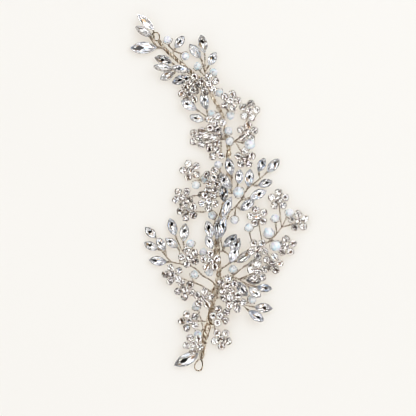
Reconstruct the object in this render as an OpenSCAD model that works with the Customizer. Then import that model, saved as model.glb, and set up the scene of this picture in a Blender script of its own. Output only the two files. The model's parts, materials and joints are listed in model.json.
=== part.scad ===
// Bridal hair vine: a wire stem with sprays of stone-set flowers, marquise leaves and
// glass beads, lying flat on a surface. Millimetres. The thin tip points along +Y, +Z is up,
// and the origin is the middle of the lower end loop, on the surface.

/* [Vine] */
// Length from the lower end loop to the highest leaf tip
vine_len = 160; // [150:1:240]
// Clearance between a head and whatever lies under it
head_gap = 0.15; // [0.12:0.01:0.4]

/* [Wire] */
// Thickness of the wound stem
stem_d = 1.5; // [1.2:0.1:2]
// Thickness of a wound joint on the stem
knot_d = 2.1; // [2:0.1:3]
// Length of a wound joint
knot_len = 2; // [1.4:0.1:2.2]
// Thickness of a twisted twig
twig_d = 0.7; // [0.5:0.05:0.9]
// Clearance around a twig in its joint
joint_gap = 0.1; // [0.05:0.01:0.2]
// Thickness of the end loops
fine_d = 0.55; // [0.4:0.05:0.7]
// Thickness of the wire through a bead
pin_d = 0.36; // [0.3:0.02:0.5]
// Inner width of an end loop
loop_w = 2.8; // [2:0.1:4]
// Length of an end loop from the stem's end to its bend
loop_reach = 4.6; // [3.5:0.1:7]

/* [Settings] */
// Thickness of the plate under the stones
plate_t = 0.5; // [0.45:0.05:0.8]
// Wall around a stone
cup_wall = 0.25; // [0.2:0.05:0.5]
// Height of a flower's cups above the plate
cup_h = 1; // [0.8:0.05:1.6]
// Height of a leaf's rim above the plate
rim_h = 0.9; // [0.7:0.05:1.5]
// Clearance between a stone and its wall
seat_gap = 0.06; // [0.05:0.01:0.12]

/* [Stones] */
// Width of a round stone
round_d = 2.85; // [2.4:0.05:3.4]
// Height of a round stone above its girdle
round_crown = 0.5; // [0.3:0.05:0.8]
// Length of the two largest leaf stones
large_len = 11.6; // [10:0.1:13]
// Width of the two largest leaf stones
large_w = 5; // [4:0.1:6]
// Length of a long leaf stone
long_len = 9.6; // [9:0.1:11]
// Width of a long leaf stone
long_w = 3.4; // [3:0.1:4.2]
// Length of a common leaf stone
mid_len = 7.6; // [7:0.1:8.6]
// Width of a common leaf stone
mid_w = 3.7; // [3:0.1:4.2]
// Length of a small leaf stone
small_len = 6.2; // [5:0.1:6.8]
// Width of a small leaf stone
small_w = 3.3; // [2.8:0.1:3.8]
// Height of a leaf stone above its girdle
leaf_crown = 0.75; // [0.5:0.05:1.1]

/* [Beads] */
// Width of a common bead
bead_d = 3.7; // [3:0.1:4.2]
// Width of a large bead
big_bead_d = 4.9; // [4.4:0.1:5.6]
// Clearance around a bead and in its bore
bead_gap = 0.1; // [0.06:0.01:0.2]

/* [Hidden] */
$fn = 48;

// Kinds of head
FLOWER = 0;
BEAD = 1;
BIG_BEAD = 2;
SMALL = 3;
MID = 4;
LONG = 5;
LARGE = 6;

stem_r = stem_d / 2;
knot_r = knot_d / 2;
twig_r = twig_d / 2;
fine_r = fine_d / 2;
pin_r = pin_d / 2;
// An end loop's shank is its two ends twisted together, so it is fatter than the wire
shank_fat = 1.2;
shank_r = shank_fat * fine_r;
// How far the shank runs past the corner where the loop starts, in radii of the wire
shank_in = 0.4;
// A ball at the corner of a bead's hoop is fatter than its wire, which ends just inside it
ball_fat = 1.25;
ball_in = 0.6;
// Sides of the stem, of a twig and of an end loop's wire
stem_sides = 10;
twig_sides = 6;
loop_sides = 8;
// The stem lies on its joints, and the twigs on the surface
stem_z = knot_r;
twig_z = twig_r;

round_r = round_d / 2;
bore_r = round_r + seat_gap;
cup_r = bore_r + cup_wall;
petals = 5;
petal_ring = 2 * bore_r + cup_wall;
leaf_sizes = [[small_len, small_w], [mid_len, mid_w], [long_len, long_w], [large_len, large_w]];
leaf_edge = seat_gap + cup_wall;
// Facets of a round stone, and of a leaf stone's outline
round_facets = 8;
leaf_facets = 10;
table_share = 0.55;
keel_share = 0.3;
// How far a cut runs past the surface it opens
cut = 1;

// Lowest plate: its own twig clears a twig that crosses below it
low_z = twig_d + head_gap + twig_r;
// Least rise of a layer: enough to pass over a joint of the stem
over_stem_z = knot_d + head_gap + twig_r;
layer_rise = over_stem_z - low_z;

// Places are thousandths of the vine's length, right of and above the lower loop
unit = vine_len / 1000;
stem_route = [
    [-112, 908], [-95, 885], [-67, 860], [-31, 829], [-6, 809], [17, 792], [39, 748],
    [62, 708], [76, 655], [84, 602], [81, 518], [67, 434], [52, 356], [50, 300],
    [56, 249], [45, 204], [34, 154], [17, 70]
];
// The lower loop's bend is round about the origin, and the stem ends above it
loop_r = loop_w / 2 + fine_r;
loop_bend = loop_reach - loop_r;
lower_way = 76;
stem_points = concat([for (p = stem_route) p * unit], [loop_bend * way(lower_way)]);

// Sprays: name, place of the root along the stem's points, the twig's points (a third number
// raises one off the surface), and the heads, each with its kind, x, y, bearing, pitch, roll,
// layer and the twig point it starts from.
// A leaf's place is its base, a flower's and a bead's its middle. The bearing is where a leaf
// points, where a bead lies from its twig, and one petal of a flower. Degrees from +X.
sprays = [
    ["tip_spray", 0.75, [[-110, 889], [-126, 902, 9]], [
        [LARGE, -120, 888, 181, 0, 8, 0, 1],
        [MID, -137, 918, 149, 4, 50, 0, 2],
        [LONG, -128, 939, 138, 6, 10, 1, 2]
    ]],
    ["upper_left_spray", 1.7, [[-71, 881]], [
        [SMALL, -66, 889, 53, 0, 0, 0, 1],
        [BEAD, -88, 911, 102, 0, 0, 0, 1],
        [BEAD, -38, 864, -32, 0, 0, 0, 1]
    ]],
    ["left_tuft_spray", 2.6, [[-58, 832]], [
        [MID, -77, 848, 164, 0, 0, 0, 1],
        [SMALL, -72, 816, 205, 0, 15, 0, 1],
        [MID, -78, 824, 173, 0, 50, 1, 1]
    ]],
    ["left_pair_spray", 4.2, [[-12, 794]], [
        [MID, -30, 808, 202, 0, 0, 0, 1],
        [FLOWER, -28, 758, 30, 0, 0, 0, 1],
        [FLOWER, -21, 788, 66, 0, 0, 1, 1],
        [MID, -28, 817, 168, 0, 50, 2, 1]
    ]],
    ["top_right_spray", 5.1, [[24, 804], [17, 820]], [
        [MID, 4, 861, 130, 0, 0, 0, 2],
        [SMALL, 28, 841, 60, 0, 0, 0, 2],
        [BEAD, -4, 837, 117, 0, 0, 0, 1],
        [BEAD, 41, 820, 40, 0, 0, 0, 1],
        [MID, 15, 875, 101, 0, 0, 1, 2]
    ]],
    ["upper_flower_spray", 5.4, [[39, 784]], [
        [BEAD, 57, 762, -50, 0, 0, 0, 1],
        [FLOWER, 27, 787, 18, 0, 0, 3, 1]
    ]],
    ["left_mid_spray", 7.3, [[48, 688], [25, 694]], [
        [MID, -8, 715, 150, 0, 0, 0, 2],
        [MID, 21, 717, 104, 0, 0, 0, 2],
        [SMALL, 12, 686, 164, 0, 0, 0, 2],
        [BEAD, 35, 703, 135, 0, 0, 0, 1]
    ]],
    ["right_upper_spray", 6.7, [[72, 722]], [
        [FLOWER, 88, 739, 4, 0, 0, 1, 1],
        [BEAD, 88, 698, -65, 0, 0, 0, 1]
    ]],
    ["right_pair_spray", 8.8, [[101, 628], [120, 640]], [
        [FLOWER, 136, 652, 14, 0, 0, 0, 2],
        [FLOWER, 141, 712, 6, 0, 0, 0, 2],
        [BIG_BEAD, 143, 618, -8, 0, 0, 1, 1],
        [FLOWER, 129, 579, 18, 0, 0, 0, 1],
        [BEAD, 85, 626, 180, 0, 0, 1, 1]
    ]],
    ["left_flower_spray", 8.4, [[62, 632], [34, 628]], [
        [FLOWER, 1, 637, -2, 0, 0, 0, 2],
        [FLOWER, 39, 638, 20, 0, 0, 1, 2],
        [FLOWER, 46, 676, 5, 0, 0, 2, 1],
        [BEAD, 82, 656, 60, 0, 0, 1, 1]
    ]],
    ["left_upper_spray", 10.1, [[60, 512], [30, 512], [4, 520]], [
        [FLOWER, -24, 545, 36, 0, 0, 0, 3],
        [BEAD, 53, 561, 110, 0, 0, 0, 1],
        [MID, 68, 506, -88, 0, 0, 0, 1],
        [BEAD, 18, 521, 20, 0, 0, 0, 3],
        [BEAD, -9, 503, -110, 0, 0, 0, 3],
        [FLOWER, 41, 524, 12, 0, 0, 1, 1]
    ]],
    ["left_flat_spray", 10.6, [[56, 472], [30, 476], [3, 476]], [
        [FLOWER, -46, 469, 55, 0, 0, 0, 3],
        [FLOWER, 27, 458, -20, 0, 0, 1, 2]
    ]],
    ["left_curl_spray", 11.8, [[42, 385], [46, 412], [36, 430], [8, 428]], [
        [FLOWER, -32, 431, 38, 0, 0, 0, 4],
        [BEAD, 36, 419, 190, 0, 0, 0, 2]
    ]],
    ["right_fan_spray", 11.5, [[75, 400], [87, 428], [104, 445], [118, 462], [134, 490],
        [148, 503], [171, 521]], [
        [MID, 117, 434, 38, 0, 0, 0, 3],
        [MID, 144, 468, 25, 0, 0, 0, 4],
        [MID, 139, 500, 85, 0, 0, 0, 5],
        [SMALL, 167, 503, 17, 0, 0, 0, 6],
        [SMALL, 167, 543, 65, 0, 0, 0, 7],
        [MID, 192, 541, 48, 0, 0, 0, 7],
        [BIG_BEAD, 110, 484, 150, 0, 0, 0, 4],
        [BEAD, 99, 405, 265, 0, 0, 0, 3],
        [LONG, 66, 414, 67, 0, 0, 1, 1]
    ]],
    ["centre_leaf_spray", 10.4, [[92, 480]], [
        [SMALL, 110, 508, 88, 0, 20, 0, 1],
        [MID, 91, 533, 103, 0, 0, 1, 1],
        [MID, 88, 494, 126, 0, 0, 2, 1]
    ]],
    ["heart_leaf_spray", 12.7, [[68, 318], [84, 308]], [
        [MID, 70, 332, 42, 0, 0, 0, 1],
        [MID, 92, 311, 65, 0, 0, 1, 2],
        [LONG, 60, 358, 79, 0, 0, 2, 1]
    ]],
    ["inner_leaf_spray", 12.4, [[36, 335]], [
        [MID, 35, 357, 105, 0, 0, 0, 1],
        [SMALL, 36, 326, 112, 0, 0, 0, 1],
        [LONG, 50, 353, 83, 0, 0, 1, 1]
    ]],
    ["right_main_spray", 13.7, [[72, 275], [92, 288], [115, 305], [132, 314], [157, 325],
        [179, 336], [199, 347], [218, 367], [232, 384], [255, 392]], [
        [FLOWER, 279, 403, 22, 0, 0, 0, 10],
        [FLOWER, 223, 463, 18, 0, 0, 0, 9],
        [BEAD, 253, 427, 60, 0, 0, 0, 9],
        [BEAD, 213, 412, 95, 0, 0, 0, 8],
        [FLOWER, 244, 333, 20, 0, 0, 0, 7],
        [BIG_BEAD, 195, 371, 100, 0, 0, 0, 7],
        [FLOWER, 164, 416, 32, 0, 0, 0, 6],
        [BEAD, 139, 386, 97, 0, 0, 0, 5],
        [FLOWER, 207, 284, 5, 0, 0, 0, 6],
        [FLOWER, 164, 325, 54, 0, 0, 1, 5],
        [BIG_BEAD, 214, 333, -60, 0, 0, 1, 7],
        [MID, 106, 291, 38, 0, 30, 0, 2],
        [MID, 88, 288, 68, 0, 0, 1, 1]
    ]],
    ["right_lower_spray", 14.2, [[72, 246], [92, 246], [112, 240], [129, 228]], [
        [MID, 106, 232, -54, 0, 0, 0, 2],
        [SMALL, 133, 243, -9, 0, 30, 0, 3],
        [SMALL, 164, 218, -7, 0, 0, 0, 4],
        [SMALL, 141, 217, -40, 0, 0, 1, 4],
        [BEAD, 95, 269, 90, 0, 0, 0, 2],
        [SMALL, 137, 281, 18, 0, 30, 0, 2],
        [FLOWER, 164, 262, 20, 0, 0, 1, 3]
    ]],
    ["right_low_spray", 15.4, [[62, 188], [84, 186], [104, 184], [123, 168]], [
        [MID, 157, 162, -5, 0, 0, 0, 4],
        [MID, 140, 151, -33, 0, 0, 0, 4],
        [BEAD, 149, 184, 35, 0, 0, 0, 4],
        [FLOWER, 80, 223, 14, 0, 0, 0, 1],
        [FLOWER, 102, 178, -3, 0, 0, 1, 2]
    ]],
    ["left_long_spray", 14.6, [[31, 238], [11, 249], [-6, 266], [-25, 277], [-53, 283],
        [-76, 288], [-90, 301], [-106, 322]], [
        [SMALL, -122, 357, 135, 0, 0, 0, 8],
        [SMALL, -118, 324, 152, 0, 0, 0, 8],
        [SMALL, -96, 323, 123, 0, 0, 1, 7],
        [MID, -92, 288, 172, 0, 0, 0, 6],
        [MID, -67, 364, 108, 0, 0, 0, 4],
        [MID, -44, 348, 83, 0, 0, 0, 4],
        [SMALL, -61, 331, 144, 0, 0, 1, 5]
    ]],
    ["left_heart_spray", 13.2, [[34, 296], [12, 300]], [
        [FLOWER, -27, 303, 36, 0, 0, 1, 2],
        [BEAD, -24, 341, 110, 0, 0, 0, 2],
        [BEAD, 12, 316, 100, 0, 0, 0, 2],
        [BEAD, 29, 259, -90, 0, 0, 0, 1],
        [FLOWER, 32, 292, 20, 0, 0, 1, 1]
    ]],
    ["left_low_spray", 15.05, [[28, 208], [6, 222], [-20, 232]], [
        [FLOWER, -39, 210, 48, 0, 0, 0, 3],
        [FLOWER, -74, 253, 34, 0, 0, 0, 3],
        [BEAD, -13, 254, 75, 0, 0, 0, 2],
        [FLOWER, 13, 188, 12, 0, 0, 1, 1]
    ]],
    ["bottom_left_spray", 16.4, [[8, 122]], [
        [FLOWER, -28, 123, 36, 0, 0, 0, 1],
        [BEAD, -8, 165, 112, 0, 0, 0, 1],
        [BEAD, -4, 85, 218, 0, 0, 0, 1]
    ]],
    ["lowest_spray", 17.3, [[-2, 50]], [
        [LARGE, -3, 32, 207, 0, 0, 0, 1],
        [FLOWER, -15, 60, 48, 0, 0, 1, 1]
    ]],
    ["bottom_right_spray", 16.6, [[42, 104]], [
        [FLOWER, 63, 73, -18, 0, 0, 0, 1],
        [FLOWER, 59, 137, 32, 0, 0, 0, 1]
    ]]
];

// Columns of a head
function kind(h) = h[0];
function place(h) = [h[1], h[2]] * unit;
function bearing(h) = h[3];
function pitch(h) = h[4];
function roll(h) = h[5];
function layer(h) = h[6];
function start(h) = h[7];
function is_leaf(h) = kind(h) >= SMALL;
function leaf_len(h) = leaf_sizes[kind(h) - SMALL][0];
function leaf_w(h) = leaf_sizes[kind(h) - SMALL][1];
function bead_r(h) = (kind(h) == BEAD ? bead_d : big_bead_d) / 2;
function hoop_r(r) = r + bead_gap + pin_r;

function way(a) = [cos(a), sin(a)];
function xy(p) = [p[0], p[1]];
function lift(p, z) = [p[0], p[1], z];

// Radius of the two arcs of a lens of length l and width w, and half its width at u
function arc_r(l, w) = (l * l + w * w) / (4 * w);
function lens_y(l, w, u) = sqrt(pow(arc_r(l, w), 2) - u * u) - arc_r(l, w) + w / 2;

// Where the stem is at place t along its points
function stem_at(t) =
    let (i = min(floor(t), len(stem_points) - 2))
    stem_points[i] * (1 - t + i) + stem_points[i + 1] * (t - i);
function stem_way(t) =
    let (i = min(floor(t), len(stem_points) - 2), d = stem_points[i + 1] - stem_points[i])
    atan2(d[1], d[0]);

// Footprint of a head as circles, [x, y, radius]; a leaf's stand at these shares of its half
leaf_circles = [-0.88, -0.6, -0.3, 0, 0.3, 0.6, 0.88];
// A rolled leaf's footprint narrows a little less than its width does
roll_share = 0.8;
function footprint(h) =
    kind(h) == FLOWER
    ? concat([[place(h)[0], place(h)[1], cup_r]],
        [for (i = [0:petals - 1])
            let (p = place(h) + petal_ring * way(bearing(h) + i * 360 / petals))
            [p[0], p[1], cup_r]])
    : is_leaf(h)
    ? [for (s = leaf_circles)
        let (l = leaf_len(h), p = place(h) + l / 2 * (1 + s) * way(bearing(h)))
        [p[0], p[1], (lens_y(l, leaf_w(h), s * l / 2) + leaf_edge) * cos(roll(h) * roll_share)]]
    : [[place(h)[0], place(h)[1], hoop_r(bead_r(h)) + pin_r]];
// No part of a head is farther from its place
function reach(h) =
    kind(h) == FLOWER ? petal_ring + cup_r
    : is_leaf(h) ? leaf_len(h) + 2 * leaf_edge
    : hoop_r(bead_r(h)) + pin_r;

// Height of a head above its lowest plate point
function leaf_lift(h) = (leaf_w(h) / 2 + leaf_edge) * sin(abs(roll(h)));
function height(h) =
    kind(h) == FLOWER ? plate_t + cup_h + round_crown
    : is_leaf(h)
    ? plate_t + rim_h + leaf_crown + 2 * leaf_lift(h) + leaf_len(h) * sin(pitch(h))
    : 2 * bead_r(h) - twig_r;

function meets(a, b) =
    max([for (p = a) for (q = b) p[2] + q[2] + head_gap - norm(xy(p) - xy(q))]) > 0;
function to_segment(p, a, b) =
    let (t = max(0, min(1, (p - a) * (b - a) / ((b - a) * (b - a)))))
    norm(p - a - t * (b - a));
function over_stem(f) =
    max([for (p = f) for (i = [0:len(stem_points) - 2])
        p[2] + knot_r + head_gap - to_segment(xy(p), stem_points[i], stem_points[i + 1])]) > 0;

// Heads are laid down layer by layer, each as low as what lies under it allows
top_layer = 3;
laid_order = [for (k = [0:top_layer]) for (s = [0:len(sprays) - 1])
    for (h = sprays[s][3]) if (layer(h) == k) [s, h, footprint(h)]];
function lay(i, done) =
    i == len(laid_order) ? done :
    let (
        head = laid_order[i][1],
        f = laid_order[i][2],
        least = low_z + layer(head) * layer_rise,
        stem = over_stem(f) ? over_stem_z : 0,
        under = [for (j = [0:1:i - 1])
            let (other = laid_order[j][1])
            if (norm(place(other) - place(head)) < reach(other) + reach(head)
                && meets(f, laid_order[j][2]))
            done[j][2] + height(other) + head_gap + twig_r]
    )
    lay(i + 1, concat(done, [[laid_order[i][0], head, max(concat([least, stem], under))]]));
// Each entry is [spray, head, height of its plate]
laid = lay(0, []);

function spray_route(s) =
    let (root = stem_at(sprays[s][1]))
    concat([lift(root, stem_z)],
        [for (p = sprays[s][2]) lift(p * unit, twig_z + (len(p) > 2 ? p[2] * unit : 0))]);

// A bent twig: a smooth curve through four guide points, with about one bend in bend_every
bend_every = 2.2;
function curve(a, b, c, d, t) =
    pow(1 - t, 3) * a + 3 * t * pow(1 - t, 2) * b + 3 * t * t * (1 - t) * c + pow(t, 3) * d;
function twig(a, b, c, d) =
    let (steps = max(2, min(4, ceil(norm(d - a) / bend_every))))
    [for (i = [0:steps]) curve(a, b, c, d, i / steps)];

// Where a twig ends on its head: a share of a leaf's length, and the overlap with a bead's hoop
base_share = 0.1;
hoop_share = 0.4;
function twig_end(h, z) =
    kind(h) == FLOWER ? lift(place(h), z)
    : is_leaf(h)
    ? lift(place(h) + base_share * leaf_len(h) * cos(pitch(h)) * way(bearing(h)),
        z + leaf_lift(h) + base_share * leaf_len(h) * sin(pitch(h)))
    : lift(place(h) - (hoop_r(bead_r(h)) + hoop_share * pin_r) * way(bearing(h)),
        z - twig_r + bead_r(h));
// The two guide points between, as shares of the span and, under a flower, of the rise
leave_share = 0.35;
arrive_share = 0.35;
flower_arrive = 0.2;
flower_rise = 0.6;
function head_twig(a, h, z) =
    let (
        d = twig_end(h, z),
        span = norm(xy(d) - xy(a)),
        b = lift(xy(a) + leave_share * (xy(d) - xy(a)), a[2]),
        c = kind(h) == FLOWER
            ? lift(xy(d) - flower_arrive * (xy(d) - xy(a)), a[2] + flower_rise * (d[2] - a[2]))
            : lift(xy(d) - arrive_share * span * way(bearing(h)), d[2])
    )
    twig(a, b, c, d);

// A straight round bar from a to b
module bar(a, b, r) {
    d = b - a;
    translate(a)
        rotate([0, acos(d[2] / norm(d)), atan2(d[1], d[0])])
            cylinder(h = norm(d), r = r);
}

// A wire swept along points, with a mitred ring of corners at each; a steep one is framed by X.
// A closed one joins its last point to its first.
steep = 0.9;
function unit_way(v) = v / norm(v);
function ring_way(points, i, closed) =
    let (
        n = len(points),
        last = n - 1,
        a = closed ? points[(i + 1) % n] - points[i]
            : points[min(i + 1, last)] - points[min(i, last - 1)],
        b = closed ? points[i] - points[(i + last) % n]
            : points[max(i, 1)] - points[max(i - 1, 0)]
    )
    unit_way(unit_way(a) + unit_way(b));
module wire(points, r, sides, closed = false) {
    n = len(points);
    rings = [for (i = [0:n - 1])
        let (
            d = ring_way(points, i, closed),
            u = unit_way(cross(d, abs(d[2]) > steep ? [1, 0, 0] : [0, 0, 1])),
            v = cross(d, u)
        )
        for (k = [0:sides - 1])
            points[i] + r * (cos(k * 360 / sides) * u + sin(k * 360 / sides) * v)];
    ends = [[for (k = [0:sides - 1]) k], [for (k = [sides - 1:-1:0]) (n - 1) * sides + k]];
    faces = concat(
        [for (i = [0:closed ? n - 1 : n - 2]) for (k = [0:sides - 1])
            let (
                a = i * sides + k,
                b = i * sides + (k + 1) % sides,
                c = (i + 1) % n * sides + k,
                d = (i + 1) % n * sides + (k + 1) % sides
            )
            each [[a, c, d], [a, d, b]]],
        closed ? [] : ends
    );
    polyhedron(points = rings, faces = faces);
}

// Stands a head's own drawing at its place
module set_head(h, z) {
    translate(lift(place(h), is_leaf(h) ? z + leaf_lift(h) : z))
        rotate([0, 0, bearing(h)])
            rotate([0, -pitch(h), 0])
                rotate([roll(h), 0, 0])
                    children();
}

// Five cups around a sixth, on one plate
module flower_cups() {
    difference() {
        linear_extrude(plate_t + cup_h)
            union() {
                circle(cup_r);
                for (i = [0:petals - 1])
                    rotate(i * 360 / petals)
                        translate([petal_ring, 0])
                            circle(cup_r);
            }
        translate([0, 0, plate_t])
            cylinder(h = cup_h + cut, r = bore_r);
        for (i = [0:petals - 1])
            rotate([0, 0, i * 360 / petals])
                translate([petal_ring, 0, plate_t])
                    cylinder(h = cup_h + cut, r = bore_r);
    }
}

// Round brilliant: table, crown and pavilion facets around a girdle at z = 0
module round_stone() {
    pavilion = cup_h - seat_gap;
    ring = [for (i = [0:round_facets - 1]) way((i + 0.5) * 360 / round_facets)];
    points = concat(
        [for (p = ring) lift(p * round_r, 0)],
        [for (p = ring) lift(p * round_r * table_share, round_crown)],
        [[0, 0, -pavilion]]
    );
    n = round_facets;
    faces = concat(
        [[for (i = [0:n - 1]) 2 * n - 1 - i]],
        [for (i = [0:n - 1]) [i, n + i, n + (i + 1) % n, (i + 1) % n]],
        [for (i = [0:n - 1]) [i, (i + 1) % n, 2 * n]]
    );
    polyhedron(points = points, faces = faces);
}

module flower_stones() {
    translate([0, 0, plate_t + cup_h]) {
        round_stone();
        for (i = [0:petals - 1])
            rotate([0, 0, i * 360 / petals])
                translate([petal_ring, 0, 0])
                    round_stone();
    }
}

// Lens outline of a leaf, grown by edge, with its base tip near the origin
lens_fn = 96;
module lens(l, w, edge) {
    r = arc_r(l, w);
    translate([l / 2, 0])
        intersection() {
            translate([0, r - w / 2])
                circle(r + edge, $fn = lens_fn);
            translate([0, w / 2 - r])
                circle(r + edge, $fn = lens_fn);
        }
}

module leaf_cup(l, w) {
    difference() {
        linear_extrude(plate_t + rim_h)
            lens(l, w, leaf_edge);
        translate([0, 0, plate_t])
            linear_extrude(rim_h + cut)
                lens(l, w, seat_gap);
    }
}

// Marquise stone: pointed outline, table, crown and keel facets
module leaf_stone(l, w) {
    half = leaf_facets / 2;
    side = [for (i = [0:half]) let (u = -cos(i * 180 / half) * l / 2) [u, lens_y(l, w, u)]];
    ring = concat(
        [for (p = side) [p[0], -p[1]]],
        [for (i = [half - 1:-1:1]) side[i]]
    );
    n = leaf_facets;
    depth = rim_h - seat_gap;
    points = concat(
        [for (p = ring) lift(p * keel_share, -depth)],
        [for (p = ring) lift(p, 0)],
        [for (p = ring) lift(p * table_share, leaf_crown)]
    );
    faces = concat(
        [[for (i = [0:n - 1]) i]],
        [for (k = [0:1]) for (i = [0:n - 1])
            [k * n + i, (k + 1) * n + i, (k + 1) * n + (i + 1) % n, k * n + (i + 1) % n]],
        [[for (i = [0:n - 1]) 3 * n - 1 - i]]
    );
    translate([l / 2, 0, plate_t + rim_h])
        polyhedron(points = points, faces = faces);
}

// Drilled glass ball, its bore across the twig
module glass_bead(r) {
    translate([0, 0, r - twig_r])
        difference() {
            sphere(r);
            rotate([90, 0, 0])
                cylinder(h = 2 * r + cut, r = pin_r + bead_gap, center = true);
        }
}

// Wire through a bead: a pin in the bore and half a hoop behind the bead
module bead_hoop(r) {
    big = hoop_r(r);
    translate([0, 0, r - twig_r]) {
        bar([0, ball_in * pin_r - big, 0], [0, big - ball_in * pin_r, 0], pin_r);
        rotate([0, 0, 90])
            rotate_extrude(angle = 180)
                translate([big, 0])
                    circle(pin_r);
        for (side = [-1, 1])
            translate([0, side * big, 0])
                sphere(r = ball_fat * pin_r);
    }
}

module head_metal(h) {
    if (kind(h) == FLOWER) flower_cups();
    else if (is_leaf(h)) leaf_cup(leaf_len(h), leaf_w(h));
    else bead_hoop(bead_r(h));
}

// One spray: its twig, and each head's own twig and setting, soldered together
module spray(s) {
    route = spray_route(s);
    color("silver") {
        wire(route, twig_r, twig_sides);
        for (e = laid)
            if (e[0] == s) {
                wire(head_twig(route[start(e[1])], e[1], e[2]), twig_r, twig_sides);
                set_head(e[1], e[2])
                    head_metal(e[1]);
            }
    }
}

// The stem, wound thicker where a spray plugs in, and drilled for the sprays and end loops
module stem() {
    points = [for (p = stem_points) lift(p, stem_z)];
    last = len(points) - 1;
    color("rosybrown")
        difference() {
            union() {
                wire(points, stem_r, stem_sides);
                for (s = sprays)
                    joint_at(s[1]);
            }
            for (s = [0:len(sprays) - 1])
                socket(spray_route(s), twig_r);
            loop_at(0)
                loop_socket();
            loop_at(last)
                loop_socket();
        }
}

module joint_at(t) {
    translate(lift(stem_at(t), stem_z))
        rotate([0, 90, stem_way(t)])
            cylinder(h = knot_len, r = knot_r, center = true);
}

module socket(route, r) {
    d = (route[1] - route[0]) / norm(route[1] - route[0]);
    bar(route[0] - joint_gap * d, route[0] + (knot_r + cut) * d, r + joint_gap);
}

// Stands an end loop at stem point i, pointing away from the stem
module loop_at(i) {
    back = i == 0 ? stem_points[0] - stem_points[1] : stem_points[i] - stem_points[i - 1];
    translate(lift(stem_points[i], stem_z))
        rotate([0, 0, atan2(back[1], back[0])])
            children();
}

loop_plug = 2;
loop_neck = 1.2;
bend_steps = 8;

module loop_socket() {
    translate([-loop_plug - joint_gap, 0, 0])
        rotate([0, 90, 0])
            cylinder(h = loop_plug + joint_gap + knot_r + cut, r = shank_r + joint_gap);
}

// A hairpin eye: a shank in the stem's end, two legs and a round bend
module end_loop() {
    neck = [loop_neck, 0, 0];
    bend = [for (i = [0:bend_steps])
        [loop_bend, 0, 0] + loop_r * lift(way(i * 180 / bend_steps - 90), 0)];
    color("silver") {
        wire([[-loop_plug, 0, 0], neck + [shank_in * fine_r, 0, 0]], shank_r, loop_sides);
        wire(concat([neck], bend), fine_r, loop_sides, true);
    }
}

// Stones: the first leaves of the vine have a node each, the rest share one
flowers = [for (e = laid) if (kind(e[1]) == FLOWER) e];
leaves = [for (e = laid) if (is_leaf(e[1])) e];
beads = [for (e = laid) if (kind(e[1]) == BEAD || kind(e[1]) == BIG_BEAD) e];
own_leaves = 27;
half_way = 450 * unit;

module flower_field(upper) {
    color("aliceblue")
        for (e = flowers)
            if ((place(e[1])[1] > half_way) == upper)
                set_head(e[1], e[2])
                    flower_stones();
}

module leaf_piece(e) {
    color("lightsteelblue")
        set_head(e[1], e[2])
            leaf_stone(leaf_len(e[1]), leaf_w(e[1]));
}

module bead_field() {
    color("lavender")
        for (e = beads)
            set_head(e[1], e[2])
                glass_bead(bead_r(e[1]));
}

leaf_names = [for (i = [1:own_leaves]) str("leaf_stone_", i < 10 ? "0" : "", i)];

stem();
loop_at(len(stem_points) - 1) end_loop();  // lower_loop
loop_at(0) end_loop();  // upper_loop
for (s = [0:len(sprays) - 1])
    spray(s);
flower_field(true);  // upper_flower_stones
flower_field(false);  // lower_flower_stones
bead_field();  // glass_beads
for (i = [own_leaves:len(leaves) - 1]) leaf_piece(leaves[i]);  // small_leaf_stones
for (i = [0:own_leaves - 1])
    leaf_piece(leaves[i]);
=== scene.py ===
import json
import math
import random

import bpy
import numpy as np
from mathutils import Matrix, Vector


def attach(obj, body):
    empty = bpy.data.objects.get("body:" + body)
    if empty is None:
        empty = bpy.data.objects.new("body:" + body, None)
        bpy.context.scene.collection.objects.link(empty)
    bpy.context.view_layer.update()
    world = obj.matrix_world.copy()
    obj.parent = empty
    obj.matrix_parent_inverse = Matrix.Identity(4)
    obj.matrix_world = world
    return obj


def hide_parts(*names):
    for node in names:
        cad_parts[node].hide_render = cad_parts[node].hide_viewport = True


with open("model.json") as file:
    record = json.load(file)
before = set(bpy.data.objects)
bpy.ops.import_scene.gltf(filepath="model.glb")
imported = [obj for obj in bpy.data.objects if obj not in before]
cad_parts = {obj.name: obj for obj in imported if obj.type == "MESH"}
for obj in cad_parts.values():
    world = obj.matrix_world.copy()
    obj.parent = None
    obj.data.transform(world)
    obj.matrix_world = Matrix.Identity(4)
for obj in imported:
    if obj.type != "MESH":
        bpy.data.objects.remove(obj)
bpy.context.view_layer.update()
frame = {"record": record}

MM = 0.001
rng = random.Random(7)

# Sizes, as in the part, in mm
VINE_LEN, HEAD_GAP = 160, 0.15
KNOT_R, KNOT_LEN, TWIG_R = 1.05, 2.0, 0.35
PIN_R, LOOP_W, LOOP_REACH, FINE_D = 0.18, 2.8, 4.6, 0.55
PLATE_T, CUP_WALL, CUP_H, RIM_H, SEAT_GAP = 0.5, 0.25, 1.0, 0.9, 0.06
ROUND_R, ROUND_CROWN, LEAF_CROWN = 1.425, 0.5, 0.75
BEAD_R, BIG_BEAD_R, BEAD_GAP = 1.85, 2.45, 0.1

FLOWER, BEAD, BIG_BEAD, SMALL, MID, LONG, LARGE = range(7)
LEAF_SIZES = {SMALL: (6.2, 3.3), MID: (7.6, 3.7), LONG: (9.6, 3.4), LARGE: (11.6, 5.0)}
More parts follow.
